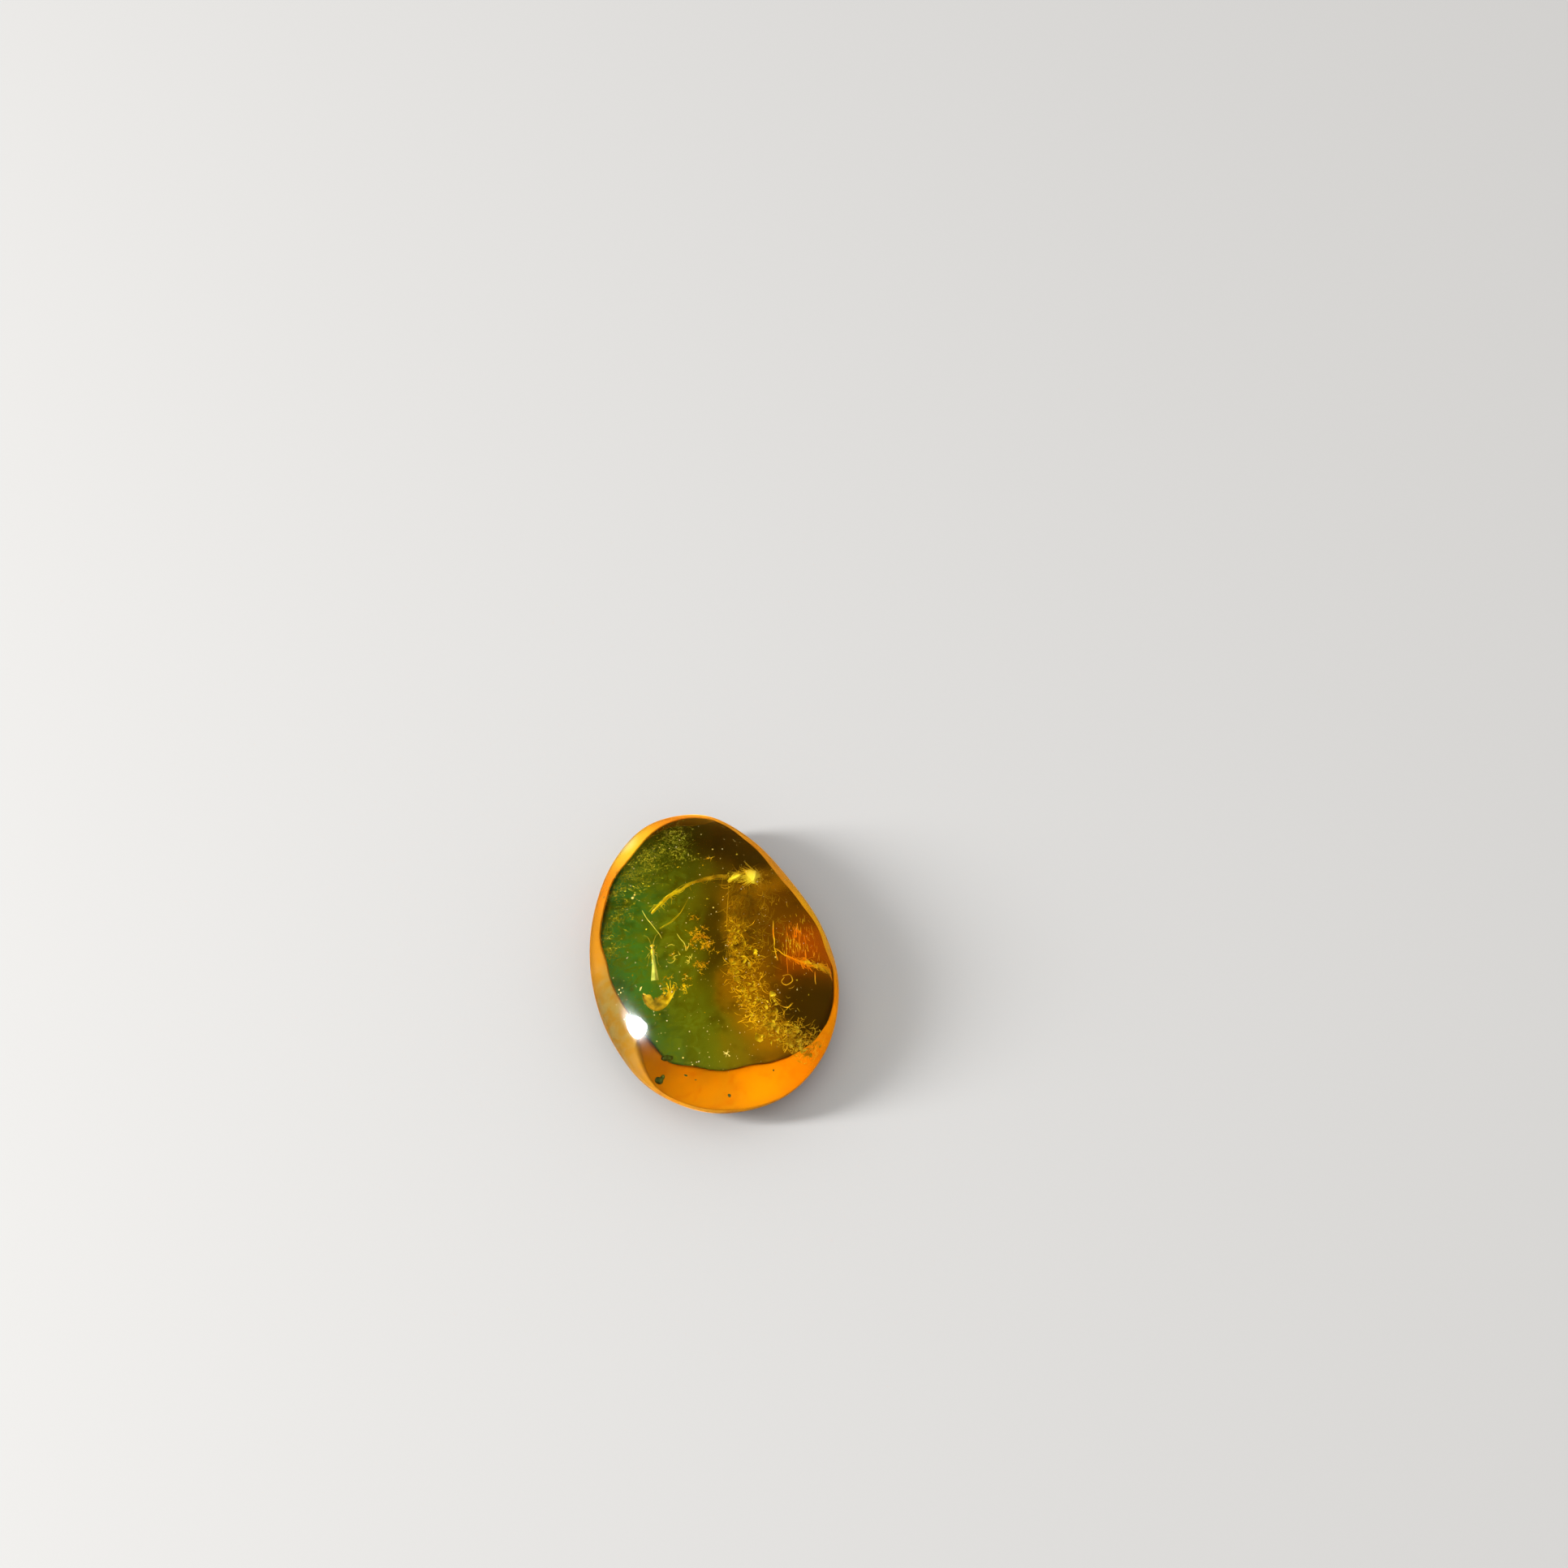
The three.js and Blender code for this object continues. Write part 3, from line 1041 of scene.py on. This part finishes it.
def fracture_veil():
    """Feathery ribs of an old healed crack, right of the middle."""
    rng = random.Random(55)
    bm = bmesh.new()
    streak(bm, rng, (0.62, 4.6, 2.2), (0.76, 0.7, 2.2), 0.035)
    for _ in range(700):
        x = 0.7 + abs(rng.gauss(0, 1.2))
        y = rng.uniform(-0.4, 5.0)
        z = 2.1 - 0.12 * x + rng.gauss(0, 0.15)
        heading = (rng.gauss(0.1, 0.45), -1, 0)
        path = curl(rng, (x, y, z), heading, rng.uniform(0.2, 1.1), 0.1, flat=0.3)
        thread(bm, path, tapered(0.006 + 0.03 * rng.random() ** 3, 0.3), 4)
    brown = mottled("veil_brown", (0.1, 0.07, 0.012), (0.52, 0.38, 0.045), 0.7, 0.4)
    return add_mesh("fracture_veil", bm, brown)


def shoulder_cracks():
    """Straight ribs and a bright band in the right-hand shoulder."""
    rng = random.Random(62)
    bm = bmesh.new()
    for start, end, width in (
        ((3.25, 1.9, 2.4), (3.35, 0.2, 2.4), 0.055), ((3.35, 0.2, 2.4), (3.55, -0.75, 2.4), 0.045),
        ((4.0, 1.6, 2.4), (4.1, -1.6, 2.4), 0.024), ((4.55, 1.9, 2.3), (4.5, 0.9, 2.3), 0.06),
        ((4.75, 1.6, 2.3), (4.65, -0.4, 2.3), 0.035), ((4.4, 1.7, 2.2), (4.35, 0.5, 2.2), 0.045),
        ((5.0, 0.2, 2.2), (5.1, -0.7, 2.2), 0.06), ((3.9, -0.3, 2.3), (4.9, -0.75, 2.2), 0.1),
        ((4.6, -0.6, 2.2), (5.6, -0.85, 2.1), 0.16), ((5.4, -0.7, 2.1), (6.5, -1.0, 2.0), 0.16),
        ((6.2, -0.4, 2.1), (6.7, -1.5, 2.0), 0.14), ((5.5, -1.1, 2.1), (5.6, -2.0, 2.1), 0.04),
        ((5.9, -0.7, 2.1), (6.7, -1.0, 2.1), 0.14), ((3.4, 0.1, 2.3), (4.2, -0.5, 2.3), 0.04),
    ):
        streak(bm, rng, start, end, width)
    for _ in range(130):
        x = 4.6 + rng.gauss(0, 0.45)
        y = 1.1 + rng.gauss(0, 0.8)
        reach = rng.uniform(0.1, 0.6)
        streak(bm, rng, (x, y, 2.2), (x + 0.05, y - reach, 2.2), rng.uniform(0.006, 0.022))
    for _ in range(90):
        x = rng.uniform(4.0, 6.4)
        start = (x, -0.42 - 0.22 * (x - 4.0) + rng.gauss(0, 0.12), 2.2)
        end = (x + rng.uniform(0.1, 0.5), start[1] + rng.uniform(-0.4, 0.3), 2.2)
        streak(bm, rng, start, end, rng.uniform(0.01, 0.04))
    for centre, size in (
        ((4.6, -0.62, 2.25), 0.16), ((5.0, -0.75, 2.2), 0.22), ((5.45, -0.85, 2.1), 0.2),
        ((5.9, -0.9, 2.1), 0.2), ((6.4, -1.0, 2.0), 0.3), ((4.6, 1.3, 2.25), 0.22),
        ((6.5, -0.8, 2.1), 0.24), ((4.45, 1.0, 2.25), 0.16), ((5.2, -0.65, 2.2), 0.24),
    ):
        flake(bm, rng, centre, size, (-0.5, -0.2, 0.85), 0.02)
    orange = mottled("crack_orange", (1.0, 0.36, 0.01), (1.0, 0.86, 0.1), 1.1, 0.3, metallic=0.4)
    return add_mesh("shoulder_cracks", bm, orange)


# ---- Bubbles and grains ----

BUBBLE_OVAL = (7.2, 9.8)  # half the width and length of the oval that they are strewn over


def bubbles(surface):
    """Pin-point bubbles in opaque white as painted glints, most of them close under the dome, and
    a few larger ones, some with rays of painted glint.
    """
    rng = random.Random(71)
    bm = bmesh.new()
    for centre, radius in (
        ((-4.7, 3.4, 3.2), 0.08), ((-4.6, 3.6, 3.2), 0.05), ((-4.15, -2.95, 3.4), 0.04),
        ((-5.4, -2.8, 3.2), 0.05), ((-5.3, -3.0, 3.2), 0.04), ((-5.2, -2.7, 3.2), 0.04),
        ((-5.45, -3.1, 3.2), 0.03), ((0.8, -7.1, 3.0), 0.06), ((0.95, -7.25, 3.0), 0.04),
        ((-1.65, -7.1, 2.6), 0.05), ((2.6, -5.0, 2.9), 0.05), ((-0.1, 2.6, 3.0), 0.05),
        ((3.5, -0.75, 3.0), 0.05), ((-0.3, 6.9, 2.6), 0.05),
    ):
        ball(bm, centre, radius)
    for _ in range(300):
        angle = rng.uniform(0, 2 * math.pi)
        reach = 0.94 * math.sqrt(rng.random())
        across, along = (reach * half for half in BUBBLE_OVAL)
        above = Vector((across * math.cos(angle), along * math.sin(angle), 20))
        dome, normal, _, _ = surface.ray_cast(above, -UP)
        depth = 0.2 + 1.6 * rng.random() ** 2
        radius = 0.016 + 0.032 * rng.random() ** 3
        if dome is not None:
            ball(bm, dome - normal * depth, radius, detail=1)
    # Starry rays of painted glint round two of the bubbles.
    for start, end, width in (
        ((0.6, -6.98, 3.0), (1.0, -7.24, 3.0), 0.02),
        ((0.9, -6.84, 3.0), (0.74, -7.36, 3.0), 0.02),
        ((0.95, -7.0, 3.0), (0.62, -7.16, 3.0), 0.02),
        ((-4.21, -3.08, 3.4), (-4.09, -2.8, 3.4), 0.07),
    ):
        streak(bm, rng, start, end, width)
    # Opaque white: each bubble is a painted glint.
    painted_glint_white = mottled("bubble_painted_glint", (0.9, 0.94, 0.98), (1.0, 1.0, 1.0), 4.0, 0.1, bump=0.0)
    return add_mesh("bubbles", bm, painted_glint_white)


def dark_grains():
    """Blots and specks of dark grit low in the stone."""
    rng = random.Random(83)
    bm = bmesh.new()
    for centre, radius, stretch in (
        ((-2.45, -6.15, 1.1), 0.2, (1.3, 0.8, 0.6)), ((-2.2, -6.2, 1.1), 0.14, (1, 0.8, 0.7)),
        ((-2.85, -7.6, 1.5), 0.2, (1.3, 0.9, 0.7)), ((-2.65, -7.45, 1.5), 0.13, (1, 1, 0.8)),
        ((0.95, -9.0, 1.9), 0.1, (1, 0.8, 0.8)), ((3.4, -7.5, 2.0), 0.05, (1, 1, 1)),
        ((-1.45, -7.8, 2.0), 0.05, (2.4, 0.8, 0.8)), ((-0.9, -8.1, 2.0), 0.03, (2, 1, 1)),
    ):
        ball(bm, centre, radius, stretch, rng.uniform(-0.6, 0.6))
    for vertex in bm.verts:
        vertex.co += vertex.co.normalized() * 0.04 * noise.noise(vertex.co * 6)
    grit = mottled("grit_green", (0.02, 0.05, 0.05), (0.05, 0.14, 0.12), 4.0, 0.6)
    return add_mesh("dark_grains", bm, grit)


# ---- The studio ----

FLOOR_SIZE = 3.0
FLOOR_COLOUR = (0.26, 0.257, 0.252, 1)
WORLD_STRENGTH = 1.75
KEY_POWER = 4.4
KEY_SIZE = (0.075, 0.24)
KEY_DISTANCE = 0.4
KEY_STEP = 0.002  # each smaller lamp stands this much farther back
KEY_AZIMUTH = -84
KEY_ELEVATION = 26
KEY_SHARES = (1.0, 0.8, 0.6)  # three lamps of these sizes, nested, so that the edge is soft


def studio_floor():
    """A plain pale floor, which the polished stone does not mirror."""
    material, _ = new_material("pale_floor", 0.8, {"Base Color": FLOOR_COLOUR})
    bm = bmesh.new()
    bmesh.ops.create_grid(bm, x_segments=1, y_segments=1, size=FLOOR_SIZE / 2 / MM)
    floor = add_mesh("floor", bm, material)
    floor.visible_glossy = False


def on_sphere(distance, azimuth, elevation):
    """A place round the stone. Azimuth 0 is in front of it and 90 to its right."""
    a, e = math.radians(azimuth), math.radians(elevation)
    flat = distance * math.cos(e)
    return Vector((flat * math.sin(a), -flat * math.cos(a), distance * math.sin(e)))


def softbox(name, place, size, power):
    """An oval lamp aimed at the stone."""
    data = bpy.data.lights.new(name, "AREA")
    data.shape = "ELLIPSE"
    data.size, data.size_y = size
    data.energy = power
    obj = bpy.data.objects.new(name, data)
    obj.location = place
    obj.rotation_euler = place.to_track_quat("Z", "Y").to_euler()
    bpy.context.scene.collection.objects.link(obj)


def lights():
    """A soft key light from the left and an even pale surround."""
    for i, share in enumerate(KEY_SHARES):
        place = on_sphere(KEY_DISTANCE + KEY_STEP * i, KEY_AZIMUTH, KEY_ELEVATION)
        size = [share * side for side in KEY_SIZE]
        softbox(f"key_softbox_{i}", place, size, KEY_POWER / len(KEY_SHARES))
    world = bpy.data.worlds.new("studio")
    world.use_nodes = True
    background = world.node_tree.nodes["Background"]
    background.inputs["Color"].default_value = (1.0, 0.99, 0.98, 1)
    background.inputs["Strength"].default_value = WORLD_STRENGTH
    world.cycles_visibility.glossy = False
    bpy.context.scene.world = world


CAMERA_PITCH = 56
CAMERA_LENS = 100
CAMERA_SENSOR = 36
FRAME_WIDTH = 0.0966  # of the view, at the stone
STONE_IN_FRAME = Vector((-0.0043, -0.01105))  # the stone's place from the view's middle
FOCUS = Vector((0, 0, 0.002))  # the point in the stone that the two above are measured to


def camera():
    """Looks down at the stone, which stands left of and below the picture's middle."""
    data = bpy.data.cameras.new("camera")
    data.lens = CAMERA_LENS
    data.sensor_width = CAMERA_SENSOR
    data.clip_start = 0.01
    obj = bpy.data.objects.new("camera", data)
    distance = CAMERA_LENS * FRAME_WIDTH / CAMERA_SENSOR
    pitch = math.radians(CAMERA_PITCH)
    right = Vector((1, 0, 0))
    up = Vector((0, math.sin(pitch), math.cos(pitch)))
    back = Vector((0, -math.cos(pitch), math.sin(pitch)))
    obj.location = FOCUS + back * distance - right * STONE_IN_FRAME.x - up * STONE_IN_FRAME.y
    obj.rotation_euler = (math.pi / 2 - pitch, 0, 0)
    bpy.context.scene.collection.objects.link(obj)
    bpy.context.scene.camera = obj


# ---- Everything together ----

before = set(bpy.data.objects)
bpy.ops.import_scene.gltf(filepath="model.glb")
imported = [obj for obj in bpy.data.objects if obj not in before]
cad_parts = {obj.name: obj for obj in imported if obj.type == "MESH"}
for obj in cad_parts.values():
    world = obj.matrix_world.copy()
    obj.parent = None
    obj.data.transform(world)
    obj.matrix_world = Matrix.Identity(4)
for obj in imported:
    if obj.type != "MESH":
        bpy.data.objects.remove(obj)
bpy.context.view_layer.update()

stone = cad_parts["amber_pebble"]
surface = BVHTree.FromBMesh(stone_bmesh(stone))  # for casting rays at, in millimetres
inclusions = [
    insect_body(), insect_wings(), golden_filament(), pale_fibres(), wisps(), star_hairs(),
    debris_threads(), debris_flakes(), bud_scale(), fracture_flash(), fracture_veil(),
    shoulder_cracks(), dark_grains(),
]
for inclusion in inclusions:
    keep_inside(inclusion, surface, INCLUSION_DEPTH)
for piece in [amber_skin(stone), haze_layer(), rim_cloud(surface), bubbles(surface), *inclusions]:
    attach(piece, "root")

studio_floor()
lights()
camera()

bpy.context.scene.view_settings.view_transform = "Standard"
